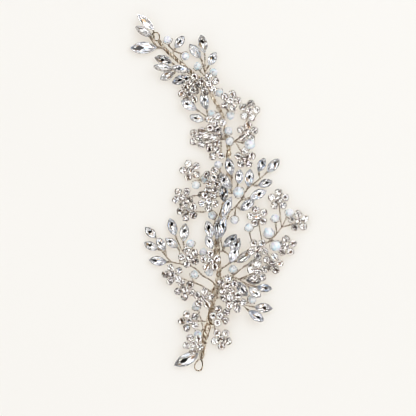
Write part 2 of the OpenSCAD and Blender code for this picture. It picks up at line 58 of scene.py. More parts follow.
# A leaf's footprint: shares of its half length for the circles, and how far a roll narrows them
LEAF_STATIONS, ROLL_SHARE = (-0.88, -0.6, -0.3, 0, 0.3, 0.6, 0.88), 0.8
BORE_R = ROUND_R + SEAT_GAP
CUP_R = BORE_R + CUP_WALL
PETALS = 5
PETAL_RING = 2 * BORE_R + CUP_WALL
LEAF_EDGE = SEAT_GAP + CUP_WALL
STEM_Z, TWIG_Z = KNOT_R, TWIG_R
LOW_Z = 2 * TWIG_R + HEAD_GAP + TWIG_R
OVER_STEM_Z = 2 * KNOT_R + HEAD_GAP + TWIG_R
LAYERS, LAYER_RISE = 4, OVER_STEM_Z - LOW_Z
UNIT = VINE_LEN / 1000

# The stem from its tip down, in thousandths of the vine's length, as all points below
STEM_ROUTE = [
    (-112, 908), (-95, 885), (-67, 860), (-31, 829), (-6, 809), (17, 792), (39, 748),
    (62, 708), (76, 655), (84, 602), (81, 518), (67, 434), (52, 356), (50, 300),
    (56, 249), (45, 204), (34, 154), (17, 70)]
LOOP_BEND = LOOP_REACH - LOOP_W / 2 - FINE_D / 2
LOWER_WAY = math.radians(76)

# Name, place of the root along the stem's points, the twig's points, and the heads:
# kind, x, y, bearing, pitch, roll, layer, twig point it starts from
SPRAYS = [
    ("tip_spray", 0.75, [(-110, 889), (-126, 902, 9)], [
        (LARGE, -120, 888, 181, 0, 8, 0, 1),
        (MID, -137, 918, 149, 4, 50, 0, 2),
        (LONG, -128, 939, 138, 6, 10, 1, 2)]),
    ("upper_left_spray", 1.7, [(-71, 881)], [
        (SMALL, -66, 889, 53, 0, 0, 0, 1),
        (BEAD, -88, 911, 102, 0, 0, 0, 1),
        (BEAD, -38, 864, -32, 0, 0, 0, 1)]),
    ("left_tuft_spray", 2.6, [(-58, 832)], [
        (MID, -77, 848, 164, 0, 0, 0, 1),
        (SMALL, -72, 816, 205, 0, 15, 0, 1),
        (MID, -78, 824, 173, 0, 50, 1, 1)]),
    ("left_pair_spray", 4.2, [(-12, 794)], [
        (MID, -30, 808, 202, 0, 0, 0, 1),
        (FLOWER, -28, 758, 30, 0, 0, 0, 1),
        (FLOWER, -21, 788, 66, 0, 0, 1, 1),
        (MID, -28, 817, 168, 0, 50, 2, 1)]),
    ("top_right_spray", 5.1, [(24, 804), (17, 820)], [
        (MID, 4, 861, 130, 0, 0, 0, 2),
        (SMALL, 28, 841, 60, 0, 0, 0, 2),
        (BEAD, -4, 837, 117, 0, 0, 0, 1),
        (BEAD, 41, 820, 40, 0, 0, 0, 1),
        (MID, 15, 875, 101, 0, 0, 1, 2)]),
    ("upper_flower_spray", 5.4, [(39, 784)], [
        (BEAD, 57, 762, -50, 0, 0, 0, 1),
        (FLOWER, 27, 787, 18, 0, 0, 3, 1)]),
    ("left_mid_spray", 7.3, [(48, 688), (25, 694)], [
        (MID, -8, 715, 150, 0, 0, 0, 2),
        (MID, 21, 717, 104, 0, 0, 0, 2),
        (SMALL, 12, 686, 164, 0, 0, 0, 2),
        (BEAD, 35, 703, 135, 0, 0, 0, 1)]),
    ("right_upper_spray", 6.7, [(72, 722)], [
        (FLOWER, 88, 739, 4, 0, 0, 1, 1),
        (BEAD, 88, 698, -65, 0, 0, 0, 1)]),
    ("right_pair_spray", 8.8, [(101, 628), (120, 640)], [
        (FLOWER, 136, 652, 14, 0, 0, 0, 2),
        (FLOWER, 141, 712, 6, 0, 0, 0, 2),
        (BIG_BEAD, 143, 618, -8, 0, 0, 1, 1),
        (FLOWER, 129, 579, 18, 0, 0, 0, 1),
        (BEAD, 85, 626, 180, 0, 0, 1, 1)]),
    ("left_flower_spray", 8.4, [(62, 632), (34, 628)], [
        (FLOWER, 1, 637, -2, 0, 0, 0, 2),
        (FLOWER, 39, 638, 20, 0, 0, 1, 2),
        (FLOWER, 46, 676, 5, 0, 0, 2, 1),
        (BEAD, 82, 656, 60, 0, 0, 1, 1)]),
    ("left_upper_spray", 10.1, [(60, 512), (30, 512), (4, 520)], [
        (FLOWER, -24, 545, 36, 0, 0, 0, 3),
        (BEAD, 53, 561, 110, 0, 0, 0, 1),
        (MID, 68, 506, -88, 0, 0, 0, 1),
        (BEAD, 18, 521, 20, 0, 0, 0, 3),
        (BEAD, -9, 503, -110, 0, 0, 0, 3),
        (FLOWER, 41, 524, 12, 0, 0, 1, 1)]),
    ("left_flat_spray", 10.6, [(56, 472), (30, 476), (3, 476)], [
        (FLOWER, -46, 469, 55, 0, 0, 0, 3),
        (FLOWER, 27, 458, -20, 0, 0, 1, 2)]),
    ("left_curl_spray", 11.8, [(42, 385), (46, 412), (36, 430), (8, 428)], [
        (FLOWER, -32, 431, 38, 0, 0, 0, 4),
        (BEAD, 36, 419, 190, 0, 0, 0, 2)]),
    ("right_fan_spray", 11.5, [(75, 400), (87, 428), (104, 445), (118, 462), (134, 490),
                               (148, 503), (171, 521)], [
        (MID, 117, 434, 38, 0, 0, 0, 3),
        (MID, 144, 468, 25, 0, 0, 0, 4),
        (MID, 139, 500, 85, 0, 0, 0, 5),
        (SMALL, 167, 503, 17, 0, 0, 0, 6),
        (SMALL, 167, 543, 65, 0, 0, 0, 7),
        (MID, 192, 541, 48, 0, 0, 0, 7),
        (BIG_BEAD, 110, 484, 150, 0, 0, 0, 4),
        (BEAD, 99, 405, 265, 0, 0, 0, 3),
        (LONG, 66, 414, 67, 0, 0, 1, 1)]),
    ("centre_leaf_spray", 10.4, [(92, 480)], [
        (SMALL, 110, 508, 88, 0, 20, 0, 1),
        (MID, 91, 533, 103, 0, 0, 1, 1),
        (MID, 88, 494, 126, 0, 0, 2, 1)]),
    ("heart_leaf_spray", 12.7, [(68, 318), (84, 308)], [
        (MID, 70, 332, 42, 0, 0, 0, 1),
        (MID, 92, 311, 65, 0, 0, 1, 2),
        (LONG, 60, 358, 79, 0, 0, 2, 1)]),
    ("inner_leaf_spray", 12.4, [(36, 335)], [
        (MID, 35, 357, 105, 0, 0, 0, 1),
        (SMALL, 36, 326, 112, 0, 0, 0, 1),
        (LONG, 50, 353, 83, 0, 0, 1, 1)]),
    ("right_main_spray", 13.7, [(72, 275), (92, 288), (115, 305), (132, 314), (157, 325),
                                (179, 336), (199, 347), (218, 367), (232, 384), (255, 392)], [
        (FLOWER, 279, 403, 22, 0, 0, 0, 10),
        (FLOWER, 223, 463, 18, 0, 0, 0, 9),
        (BEAD, 253, 427, 60, 0, 0, 0, 9),
        (BEAD, 213, 412, 95, 0, 0, 0, 8),
        (FLOWER, 244, 333, 20, 0, 0, 0, 7),
        (BIG_BEAD, 195, 371, 100, 0, 0, 0, 7),
        (FLOWER, 164, 416, 32, 0, 0, 0, 6),
        (BEAD, 139, 386, 97, 0, 0, 0, 5),
        (FLOWER, 207, 284, 5, 0, 0, 0, 6),
        (FLOWER, 164, 325, 54, 0, 0, 1, 5),
        (BIG_BEAD, 214, 333, -60, 0, 0, 1, 7),
        (MID, 106, 291, 38, 0, 30, 0, 2),
        (MID, 88, 288, 68, 0, 0, 1, 1)]),
    ("right_lower_spray", 14.2, [(72, 246), (92, 246), (112, 240), (129, 228)], [
        (MID, 106, 232, -54, 0, 0, 0, 2),
        (SMALL, 133, 243, -9, 0, 30, 0, 3),
        (SMALL, 164, 218, -7, 0, 0, 0, 4),
        (SMALL, 141, 217, -40, 0, 0, 1, 4),
        (BEAD, 95, 269, 90, 0, 0, 0, 2),
        (SMALL, 137, 281, 18, 0, 30, 0, 2),
        (FLOWER, 164, 262, 20, 0, 0, 1, 3)]),
    ("right_low_spray", 15.4, [(62, 188), (84, 186), (104, 184), (123, 168)], [
        (MID, 157, 162, -5, 0, 0, 0, 4),
        (MID, 140, 151, -33, 0, 0, 0, 4),
        (BEAD, 149, 184, 35, 0, 0, 0, 4),
        (FLOWER, 80, 223, 14, 0, 0, 0, 1),
        (FLOWER, 102, 178, -3, 0, 0, 1, 2)]),
    ("left_long_spray", 14.6, [(31, 238), (11, 249), (-6, 266), (-25, 277), (-53, 283),
                               (-76, 288), (-90, 301), (-106, 322)], [
        (SMALL, -122, 357, 135, 0, 0, 0, 8),
        (SMALL, -118, 324, 152, 0, 0, 0, 8),
        (SMALL, -96, 323, 123, 0, 0, 1, 7),
        (MID, -92, 288, 172, 0, 0, 0, 6),
        (MID, -67, 364, 108, 0, 0, 0, 4),
        (MID, -44, 348, 83, 0, 0, 0, 4),
        (SMALL, -61, 331, 144, 0, 0, 1, 5)]),
    ("left_heart_spray", 13.2, [(34, 296), (12, 300)], [
        (FLOWER, -27, 303, 36, 0, 0, 1, 2),
        (BEAD, -24, 341, 110, 0, 0, 0, 2),
        (BEAD, 12, 316, 100, 0, 0, 0, 2),
        (BEAD, 29, 259, -90, 0, 0, 0, 1),
        (FLOWER, 32, 292, 20, 0, 0, 1, 1)]),
    ("left_low_spray", 15.05, [(28, 208), (6, 222), (-20, 232)], [
        (FLOWER, -39, 210, 48, 0, 0, 0, 3),
        (FLOWER, -74, 253, 34, 0, 0, 0, 3),
        (BEAD, -13, 254, 75, 0, 0, 0, 2),
        (FLOWER, 13, 188, 12, 0, 0, 1, 1)]),
    ("bottom_left_spray", 16.4, [(8, 122)], [
        (FLOWER, -28, 123, 36, 0, 0, 0, 1),
        (BEAD, -8, 165, 112, 0, 0, 0, 1),
        (BEAD, -4, 85, 218, 0, 0, 0, 1)]),
    ("lowest_spray", 17.3, [(-2, 50)], [
        (LARGE, -3, 32, 207, 0, 0, 0, 1),
        (FLOWER, -15, 60, 48, 0, 0, 1, 1)]),
    ("bottom_right_spray", 16.6, [(42, 104)], [
        (FLOWER, 63, 73, -18, 0, 0, 0, 1),
        (FLOWER, 59, 137, 32, 0, 0, 0, 1)]),
]


# Where each head lies
class Head:
    """A flower, a leaf or a bead: its place, how high it is and what it covers."""

    def __init__(self, spray, row):
        self.spray = spray
        self.kind, x, y, bearing, pitch, roll, self.layer, self.start = row
        self.x, self.y = x * UNIT, y * UNIT
        self.bearing = math.radians(bearing)
        self.pitch, self.roll = math.radians(pitch), math.radians(roll)
        self.leaf = self.kind >= SMALL
        if self.leaf:
            self.length, self.width = LEAF_SIZES[self.kind]
            self.lift = (self.width / 2 + LEAF_EDGE) * math.sin(abs(self.roll))
            self.reach = self.length + 2 * LEAF_EDGE
            self.height = (PLATE_T + RIM_H + LEAF_CROWN + 2 * self.lift
                           + self.length * math.sin(self.pitch))
        elif self.kind == FLOWER:
            self.lift = 0
            self.reach = PETAL_RING + CUP_R
            self.height = PLATE_T + CUP_H + ROUND_CROWN
        else:
            self.lift = 0
            self.r = BEAD_R if self.kind == BEAD else BIG_BEAD_R
            self.hoop = self.r + BEAD_GAP + PIN_R
            self.reach = self.hoop + PIN_R
            self.height = 2 * self.r - TWIG_R
        self.circles = self.footprint()

    def way(self, turn=0.0):
        """Cosine and sine of the head's bearing, turned by an angle."""
        return math.cos(self.bearing + turn), math.sin(self.bearing + turn)

    def footprint(self):
        """Circles that cover the head, seen from above."""
        if self.kind == FLOWER:
            out = [(self.x, self.y, CUP_R)]
            for i in range(PETALS):
                c, s = self.way(i * math.tau / PETALS)
                out.append((self.x + PETAL_RING * c, self.y + PETAL_RING * s, CUP_R))
            return out
        if self.leaf:
            out = []
            c, s = self.way()
            for share in LEAF_STATIONS:
                along = self.length / 2 * (1 + share)
                half = lens_y(self.length, self.width, share * self.length / 2)
                out.append((self.x + along * c, self.y + along * s,
                            (half + LEAF_EDGE) * math.cos(self.roll * ROLL_SHARE)))
            return out
        return [(self.x, self.y, self.hoop + PIN_R)]

    def seat(self):
        """The head's own place: its drawing has the plate's underside at z = 0."""
        return (Matrix.Translation((self.x, self.y, self.z + self.lift))
                @ Matrix.Rotation(self.bearing, 4, "Z")
                @ Matrix.Rotation(-self.pitch, 4, "Y")
                @ Matrix.Rotation(self.roll, 4, "X"))


def arc_radius(length, width):
    """Radius of the two arcs that make a lens."""
    return (length ** 2 + width ** 2) / (4 * width)


def lens_y(length, width, u):
    """Half the width of a lens at u from its middle."""
    r = arc_radius(length, width)
    return math.sqrt(r * r - u * u) - r + width / 2


def to_segment(px, py, a, b):
    """Distance from a point to the line between a and b."""
    dx, dy = b[0] - a[0], b[1] - a[1]
    t = max(0, min(1, ((px - a[0]) * dx + (py - a[1]) * dy) / (dx * dx + dy * dy)))
    return math.hypot(px - a[0] - t * dx, py - a[1] - t * dy)


# The stem's points in mm, with one more where the lower loop starts
STEM_XY = [(x * UNIT, y * UNIT) for x, y in STEM_ROUTE]
STEM_XY.append((LOOP_BEND * math.cos(LOWER_WAY), LOOP_BEND * math.sin(LOWER_WAY)))


def stem_at(t):
    """The stem's place at t, counted in its points."""
    i = min(int(t), len(STEM_XY) - 2)
    (ax, ay), (bx, by) = STEM_XY[i], STEM_XY[i + 1]
    return ax + (bx - ax) * (t - i), ay + (by - ay) * (t - i)


def over_stem(head):
    return any(r + KNOT_R + HEAD_GAP > to_segment(x, y, a, b)
               for x, y, r in head.circles for a, b in zip(STEM_XY, STEM_XY[1:]))


def meets(a, b):
    return any(p[2] + q[2] + HEAD_GAP > math.hypot(p[0] - q[0], p[1] - q[1])
               for p in a.circles for q in b.circles)


# Each head lies on its layer, or higher where heads that are laid already are in its way
HEADS = [Head(s, row) for s, spray in enumerate(SPRAYS) for row in spray[3]]
laid = []
for layer in range(LAYERS):
    for head in (h for h in HEADS if h.layer == layer):
        z = max(LOW_Z + layer * LAYER_RISE, OVER_STEM_Z if over_stem(head) else 0)
        for other in laid:
            near = math.hypot(head.x - other.x, head.y - other.y) < head.reach + other.reach
            if near and meets(head, other):
                z = max(z, other.z + other.height + HEAD_GAP + TWIG_R)
        head.z = z
        laid.append(head)


def clear(x, y, r, low, high):
    """Whether an upright cylinder is free of the stem and of all heads."""
    if low < OVER_STEM_Z and any(r + KNOT_R > to_segment(x, y, a, b)
                                 for a, b in zip(STEM_XY, STEM_XY[1:])):
        return False
    return not any(h.z < high and h.z + h.height > low and r + q > math.hypot(x - u, y - v)
                   for h in laid for u, v, q in h.circles)


# Flowers that others half hide: only those of their stones show that have room
FILLER_RISE = 1.4
HALF_HIDDEN = [("left_flower_spray", (FLOWER, 49, 602, 22, 0, 0, 0, 1)),
               ("right_low_spray", (FLOWER, 70, 188, 30, 0, 0, 0, 1)),
               ("left_tuft_spray", (FLOWER, -34, 843, 10, 0, 0, 0, 1)),
               ("left_pair_spray", (FLOWER, -1, 773, 40, 0, 0, 0, 1)),
               ("left_flat_spray", (FLOWER, 24, 489, 0, 0, 0, 0, 2))]
NAMES = [spray[0] for spray in SPRAYS]
FILLERS = []
for name, row in HALF_HIDDEN:
    head = Head(NAMES.index(name), row)
    for head.z in (LOW_Z, OVER_STEM_Z, OVER_STEM_Z + FILLER_RISE):
        head.room = [clear(x, y, r, head.z, head.z + head.height) for x, y, r in head.circles]
        if sum(head.room) > 1:
            break
    FILLERS.append(head)


# Mesh tools, in mm
def placed(points, seat):
    """Points moved from a seat's own frame to the part's."""
    m = np.array(seat)
    return np.asarray(points, float) @ m[:3, :3].T + m[:3, 3]


class Form:
    """Points and faces of one piece, with a material number for each face."""

    def __init__(self):
        self.points, self.faces, self.kinds, self.count = [], [], [], 0

    def add(self, points, faces, kind=0, seat=None):
        """Kind is one material number for all faces, or a list with one for each."""
        points = np.asarray(points, float) if seat is None else placed(points, seat)
        base = self.count
        self.points.append(points)
        self.count += len(points)
        kinds = kind if isinstance(kind, list) else [kind] * len(faces)
        self.faces += [[base + i for i in f] for f in faces]
        self.kinds += kinds

    def make(self, name, materials, slot, nodes=(), smooth=False):
        """The piece itself, which takes the place of the nodes."""
        mesh = bpy.data.meshes.new(name)
        mesh.from_pydata((np.concatenate(self.points) * MM).tolist(), [], self.faces)
        mesh.polygons.foreach_set("material_index", self.kinds)
        mesh.polygons.foreach_set("use_smooth", [smooth] * len(self.faces))
        for m in materials:
            mesh.materials.append(m)
        mesh.update()
        piece = bpy.data.objects.new(name, mesh)
        bpy.context.scene.collection.objects.link(piece)
        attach(piece, "root")
        if nodes:
            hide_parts(*nodes)


def frames(points):
    """Unit ways along a line of points, with two ways across it that don't spin."""
    d = np.gradient(points, axis=0)
    d /= np.linalg.norm(d, axis=1)[:, None]
    u = np.empty_like(points)
    first = np.cross(d[0], (0, 0, 1.0) if abs(d[0][2]) < 0.9 else (1.0, 0, 0))
    u[0] = first / np.linalg.norm(first)
    for i in range(1, len(points)):
        w = u[i - 1] - d[i] * np.dot(u[i - 1], d[i])
        u[i] = w / np.linalg.norm(w)
    return d, u, np.cross(d, u)


def tube(form, points, radius, sides, kind=0):
    """A round wire along a line; its radius may be one number or one for each point."""
    points = np.asarray(points, float)
    d, u, v = frames(points)
    a = np.arange(sides) * math.tau / sides
    r = np.broadcast_to(np.asarray(radius, float), (len(points),))[:, None, None]
    ring = (points[:, None, :] + r * (np.cos(a)[None, :, None] * u[:, None, :]
                                      + np.sin(a)[None, :, None] * v[:, None, :]))
    faces = []
    for i in range(len(points) - 1):
        for k in range(sides):
            n = (k + 1) % sides
            faces.append([i * sides + k, i * sides + n,
                          (i + 1) * sides + n, (i + 1) * sides + k])
    faces.append(list(range(sides))[::-1])
    faces.append([(len(points) - 1) * sides + k for k in range(sides)])
    form.add(ring.reshape(-1, 3), faces, kind)


def even(points, step):
    """The same line with its points about one step apart, and how far along each is."""
    points = np.asarray(points, float)
    run = np.concatenate([[0], np.cumsum(np.linalg.norm(np.diff(points, axis=0), axis=1))])
    n = max(2, int(math.ceil(run[-1] / step)) + 1)
    at = np.linspace(0, run[-1], n)
    return np.stack([np.interp(at, run, points[:, k]) for k in range(3)], axis=1), at


SPAN = 8  # points of a smooth line to each point that it goes through


def smooth_line(points):
    """A Catmull-Rom curve through the points."""
    p = [np.asarray(q, float) for q in points]
    p = [2 * p[0] - p[1]] + p + [2 * p[-1] - p[-2]]
    out = []
    for i in range(1, len(p) - 2):
        a, b, c, d = p[i - 1:i + 3]
        for k in range(SPAN):
            t = k / SPAN
            out.append(0.5 * (2 * b + (c - a) * t + (2 * a - 5 * b + 4 * c - d) * t * t
                              + (3 * b - a - 3 * c + d) * t ** 3))
    out.append(p[-2])
    return np.array(out)


def rope(form, points, strands, strand_r, off, pitch, sides=6, per_turn=8, phase=0.0, kind=0):
    """Strands twisted round a line; off may be a pair, across the line and up."""
    across, up = off if isinstance(off, tuple) else (off, off)
    line, at = even(points, abs(pitch) / per_turn)
    d, u, v = frames(line)
    for k in range(strands):
        a = (phase + k * math.tau / strands + at * math.tau / pitch)[:, None]
        tube(form, line + across * np.cos(a) * u + up * np.sin(a) * v, strand_r, sides, kind)


PALE, BROWN, AGED = range(3)  # the stem's wires
LOOSE_KINDS = (PALE, AGED, PALE, BROWN)


def loose(form, points, count, spread, radius):
    """Strands that run side by side and wander a little over each other."""
    line, at = even(points, 0.5)
    side = np.cross(frames(line)[0], (0, 0, 1.0))
    fade = np.minimum(1, np.minimum(at, at[-1] - at) / 4 + 0.5)
    for k in range(count):
        lane = 2 * k / (count - 1) - 1
        sway = 0.35 * np.sin(at / (2.3 + 0.4 * (k % 3)) + 2.4 * k)
        across = spread * fade * (lane + sway)
        rise = 0.36 * np.cos(at / (2.9 + 0.5 * (k % 4)) + 2.1 * k) * (1 - 0.3 * abs(lane))
        strand = line + across[:, None] * side + rise[:, None] * (0, 0, 1.0)
        tube(form, strand, radius + 0.03 * (k % 3), 7, LOOSE_KINDS[k % 4])


def coil(form, line, wire_r, off, pitch, sides=5, per_turn=12, kind=0, phase=0.0):
    """A wire wound round a line."""
    rope(form, line, 1, wire_r, off, pitch, sides, per_turn, phase, kind)


def bezier(a, b, c, d):
    t = np.linspace(0, 1, 13)[:, None]
    return (1 - t) ** 3 * a + 3 * t * (1 - t) ** 2 * b + 3 * t * t * (1 - t) * c + t ** 3 * d


def lathe(form, profile, sides, seat, kind=0):
    """A closed profile of (r, z) points turned round Z."""
    a = np.arange(sides) * math.tau / sides
    n = len(profile)
    points = [(r * math.cos(t), r * math.sin(t), z) for t in a for r, z in profile]
    faces = []
    for i in range(sides):
        j = (i + 1) % sides
        for k in range(n):
            m = (k + 1) % n
            faces.append([i * n + k, i * n + m, j * n + m, j * n + k])
    form.add(points, faces, kind, seat)


# Cut stones: kinds of facet, and the shares of those that aren't pale foil in each ring. The
# grey, dark, amber and blue facets are painted reflections of grey, dark and coloured
# surroundings.
CROWN, FOIL, GREY_REFLECTION, DARK_REFLECTION, AMBER_REFLECTION, BLUE_REFLECTION = range(6)
RING_REFLECTIONS = [(GREY_REFLECTION, 0.03), (DARK_REFLECTION, 0.13), (AMBER_REFLECTION, 0.03)]
STAR_REFLECTIONS = [(GREY_REFLECTION, 0.04), (DARK_REFLECTION, 0.40), (AMBER_REFLECTION, 0.07), (BLUE_REFLECTION, 0.01)]
EDGE_REFLECTIONS = [(GREY_REFLECTION, 0.16), (DARK_REFLECTION, 0.06), (BLUE_REFLECTION, 0.05), (AMBER_REFLECTION, 0.02)]
STEP_REFLECTIONS = [(GREY_REFLECTION, 0.07), (DARK_REFLECTION, 0.02), (BLUE_REFLECTION, 0.03), (AMBER_REFLECTION, 0.03)]
HEART_REFLECTIONS = [(GREY_REFLECTION, 0.12), (DARK_REFLECTION, 0.12), (AMBER_REFLECTION, 0.06), (BLUE_REFLECTION, 0.03)]
KEEL_REFLECTIONS = (DARK_REFLECTION, DARK_REFLECTION, DARK_REFLECTION, DARK_REFLECTION, GREY_REFLECTION, AMBER_REFLECTION, FOIL, FOIL)
# Half the height of a stone's edge, the kites' share of its crown's height, and a round
# stone's table, kites, depth, and the reach and depth of its star
EDGE, KITE_RISE = 0.03, 0.56
ROUND_TABLE, ROUND_KITE, ROUND_DEPTH, STAR_REACH, STAR_DEPTH = 0.55, 0.79, 1.13, 0.5, 0.52
# A leaf stone's table, kites and height. Its steps: shares along and across, height, shift
LEAF_TOP = (0.6, 0.82, 0.55)
FIRST_STEP, FIRST_SHIFT = (0.9, 0.82, -0.4), 0.15
SECOND_STEP, SECOND_SHIFT = (0.62, 0.5, -0.8), 0.6
KEEL, LARGE_KEEL = (0.27, 0.32, -1.04), (0.34, 0.38, -1.04)
LARGE_FROM = 10  # mm long
MAINS = 8  # main directions of a stone


class Stone:
    """A faceted stone. Its outline has two points for each main direction, mains first."""

    def __init__(self, outline):
        self.g, self.n = outline, len(outline) // 2
        self.pts, self.faces, self.kinds = [], [], []
        self.top = [self.put(x, y, EDGE) for x, y in outline]
        self.low = [self.put(x, y, -EDGE) for x, y in outline]
        for a in range(2 * self.n):
            b = (a + 1) % (2 * self.n)
            self.face(CROWN, [self.top[a], self.low[a], self.low[b], self.top[b]])

    def put(self, x, y, z):
        self.pts.append((x, y, z))
        return len(self.pts) - 1

    def face(self, kind, *faces):
        self.faces += faces
        self.kinds += [kind] * len(faces)

    def mains(self, along, across, z, shift=0.0):
        """A ring of points, one for each main, at shares of the outline."""
        return [self.put(self.g[2 * i][0] * along + shift, self.g[2 * i][1] * across, z)
                for i in range(self.n)]

    def crown(self, table, mid, height):
        """A table with stars, kites and halves round it."""
        n, top = self.n, self.top
        tab = self.mains(table, table, height)
        kite = [self.put(self.g[2 * i + 1][0] * mid, self.g[2 * i + 1][1] * mid,
                         height * KITE_RISE) for i in range(n)]
        self.face(CROWN, tab)
        for i in range(n):
            j, k = (i + 1) % n, (i - 1) % n
            self.face(CROWN, [tab[i], kite[i], tab[j]], [tab[i], kite[k], top[2 * i], kite[i]],
                      [kite[i], top[2 * i], top[2 * i + 1]],
                      [kite[i], top[2 * i + 1], top[(2 * i + 2) % (2 * n)]])

    def halves(self, ring, reflection_shares):
        """Facets from the outline down to a ring of mains."""
        n, low = self.n, self.low
        for i in range(n):
            j = (i + 1) % n
            self.face(foil_or_painted_reflection(reflection_shares), [ring[i], low[2 * i + 1], low[2 * i]])
            self.face(foil_or_painted_reflection(reflection_shares), [ring[i], ring[j], low[2 * i + 1]])
            self.face(foil_or_painted_reflection(reflection_shares), [ring[j], low[(2 * i + 2) % (2 * n)], low[2 * i + 1]])

    def step(self, upper, lower, reflection_shares):
        """Facets between two rings of mains."""
        for i in range(self.n):
            j = (i + 1) % self.n
            self.face(foil_or_painted_reflection(reflection_shares), [upper[i], lower[i], lower[j], upper[j]])


def round_stone(form, seat):
    """Pale foiled facets under the edge, some painted as reflections, and a star of small ones in
    the middle, many painted as dark reflections.
    """
    s = Stone(round_outline(ROUND_R))
    s.crown(ROUND_TABLE, ROUND_KITE, ROUND_CROWN)
    n, g = s.n, s.g
    half = [s.put(g[2 * i + 1][0] * STAR_REACH, g[2 * i + 1][1] * STAR_REACH,
                  -ROUND_DEPTH * STAR_DEPTH) for i in range(n)]
    keel = s.put(0, 0, -ROUND_DEPTH)
    for i in range(n):
        k = (i - 1) % n
        s.face(foil_or_painted_reflection(RING_REFLECTIONS), [half[i], s.low[2 * i + 1], s.low[2 * i]])
        s.face(foil_or_painted_reflection(RING_REFLECTIONS), [half[i], s.low[(2 * i + 2) % (2 * n)], s.low[2 * i + 1]])
        s.face(foil_or_painted_reflection(RING_REFLECTIONS), [half[i], s.low[2 * i], half[k]])
        s.face(foil_or_painted_reflection(STAR_REFLECTIONS), [keel, half[i], half[k]])
    form.add(s.pts, s.faces, s.kinds, seat)


def leaf_stone(form, length, width, seat):
    """Long foiled steps run down to a small flat keel, a little nearer the tip. Some facets are
    painted reflections, and a large stone's keel is a painted dark reflection.
    """
    s = Stone(leaf_outline(length, width))
    s.crown(*LEAF_TOP)
    shift = length / 2 * rng.uniform(0.06, 0.36)
    large = length > LARGE_FROM
    first = s.mains(*FIRST_STEP, shift * FIRST_SHIFT)
    second = s.mains(*SECOND_STEP, shift * SECOND_SHIFT)
    keel = s.mains(*(LARGE_KEEL if large else KEEL), shift)
    s.halves(first, EDGE_REFLECTIONS)
    s.step(first, second, STEP_REFLECTIONS)
    s.step(second, keel, HEART_REFLECTIONS)
    s.face(DARK_REFLECTION if large else rng.choice(KEEL_REFLECTIONS), keel[::-1])
    form.add(s.pts, s.faces, s.kinds, seat)


def foil_or_painted_reflection(reflection_shares):
    """A facet's kind, drawn by the shares of painted reflections; pale foil takes the rest."""
    draw = rng.random()
    for reflection, share in reflection_shares:
        draw -= share
        if draw < 0:
            return reflection
    return FOIL


def round_outline(r):
    return [(r * math.cos(i * math.pi / MAINS), r * math.sin(i * math.pi / MAINS))
            for i in range(2 * MAINS)]


def leaf_outline(length, width):
    """Points round a pointed lens, its tips at the first and the middle one."""
    out = []
    for i in range(2 * MAINS):
        a = i * math.pi / MAINS
        u = math.cos(a) * length / 2
        half = math.copysign(lens_y(length, width, u), math.sin(a)) if i % MAINS else 0.0
        out.append((u, half))
    return out


def wobble(degrees):
    """A small chance tilt, as of a stone set by hand."""
    return (Matrix.Rotation(math.radians(rng.uniform(-degrees, degrees)), 4, "X")
            @ Matrix.Rotation(math.radians(rng.uniform(-degrees, degrees)), 4, "Y"))


# Settings
PRONG, BEZEL, RIM = range(3)
CUP_SIDES, FOOT_SIDES = 20, 12
# A prong's way over the lip: how far in from the cup's edge, how far above its rim, radius
PRONG_WAY = [(0.05, -0.55, 0.22), (0.08, -0.05, 0.21), (0.2, 0.18, 0.19), (0.46, 0.3, 0.1)]


def petal_seats(head):
    """Seats of a flower's six stones: the middle one, then the petals."""
    seat = head.seat()
    out = [seat]
    for i in range(PETALS):
        turn = Matrix.Rotation(i * math.tau / PETALS, 4, "Z")
        out.append(seat @ turn @ Matrix.Translation((PETAL_RING, 0, 0)))
    return out


def cup(form, seat, spin):
    """A round stone's cup with a rounded lip, its foot, and four prongs."""
    rim = PLATE_T + CUP_H
    lathe(form, [(CUP_R * 0.8, 0.12), (CUP_R * 0.93, PLATE_T), (CUP_R, rim - 0.3),
                 (CUP_R - 0.03, rim - 0.12), (CUP_R - 0.12, rim - 0.06),
                 (BORE_R, rim - 0.14), (BORE_R, PLATE_T)], CUP_SIDES, seat, BEZEL)
    lathe(form, [(0.0001, 0.1), (CUP_R * 0.82, 0.1), (CUP_R * 0.82, 0.3), (0.0001, 0.3)],
          FOOT_SIDES, seat, BEZEL)
    for k in range(4):
        a = spin + math.pi / 4 + k * math.pi / 2
        c, s = math.cos(a), math.sin(a)
        line = [((CUP_R - inset) * c, (CUP_R - inset) * s, rim + rise)
                for inset, rise, _r in PRONG_WAY]
        tube(form, placed(line, seat), [r for _inset, _rise, r in PRONG_WAY], 6, PRONG)


ARC_STEPS = 14


def leaf_rim(form, head):
    """A leaf's pointed cup: its foot, its outer wall, a rounded lip and its inner wall."""
    length, width, rim = head.length, head.width, PLATE_T + RIM_H
    r = arc_radius(length, width)

    def ring(grow, z):
        """The lens outline grown by grow, evenly spaced by angle on each arc."""
        half = math.acos((r - width / 2) / (r + grow))
        pts = []
        for sign in (1, -1):
            for i in range(ARC_STEPS):
                a = half * (1 - 2 * i / ARC_STEPS) * sign
                x = (r + grow) * math.sin(a) + length / 2
                y = sign * ((r + grow) * math.cos(a) - r + width / 2)
                pts.append((x, y, z))
        return pts

    layers = [ring(LEAF_EDGE * 0.35, 0.06), ring(LEAF_EDGE * 0.85, PLATE_T * 0.6),
              ring(LEAF_EDGE, rim - 0.3), ring(LEAF_EDGE - 0.02, rim + 0.02),
              ring(LEAF_EDGE - 0.1, rim + 0.1), ring(-0.02, rim + 0.09),
              ring(SEAT_GAP, rim - 0.1), ring(SEAT_GAP, 0.3)]
    n = len(layers[0])
    pts = [p for layer in layers for p in layer]
    faces = []
    for k in range(len(layers) - 1):
        for i in range(n):
            j = (i + 1) % n
            faces.append([k * n + i, (k + 1) * n + i, (k + 1) * n + j, k * n + j])
    faces.append(list(range(n)))
    faces.append([(len(layers) - 1) * n + i for i in range(n)][::-1])
    form.add(pts, faces, RIM, head.seat())


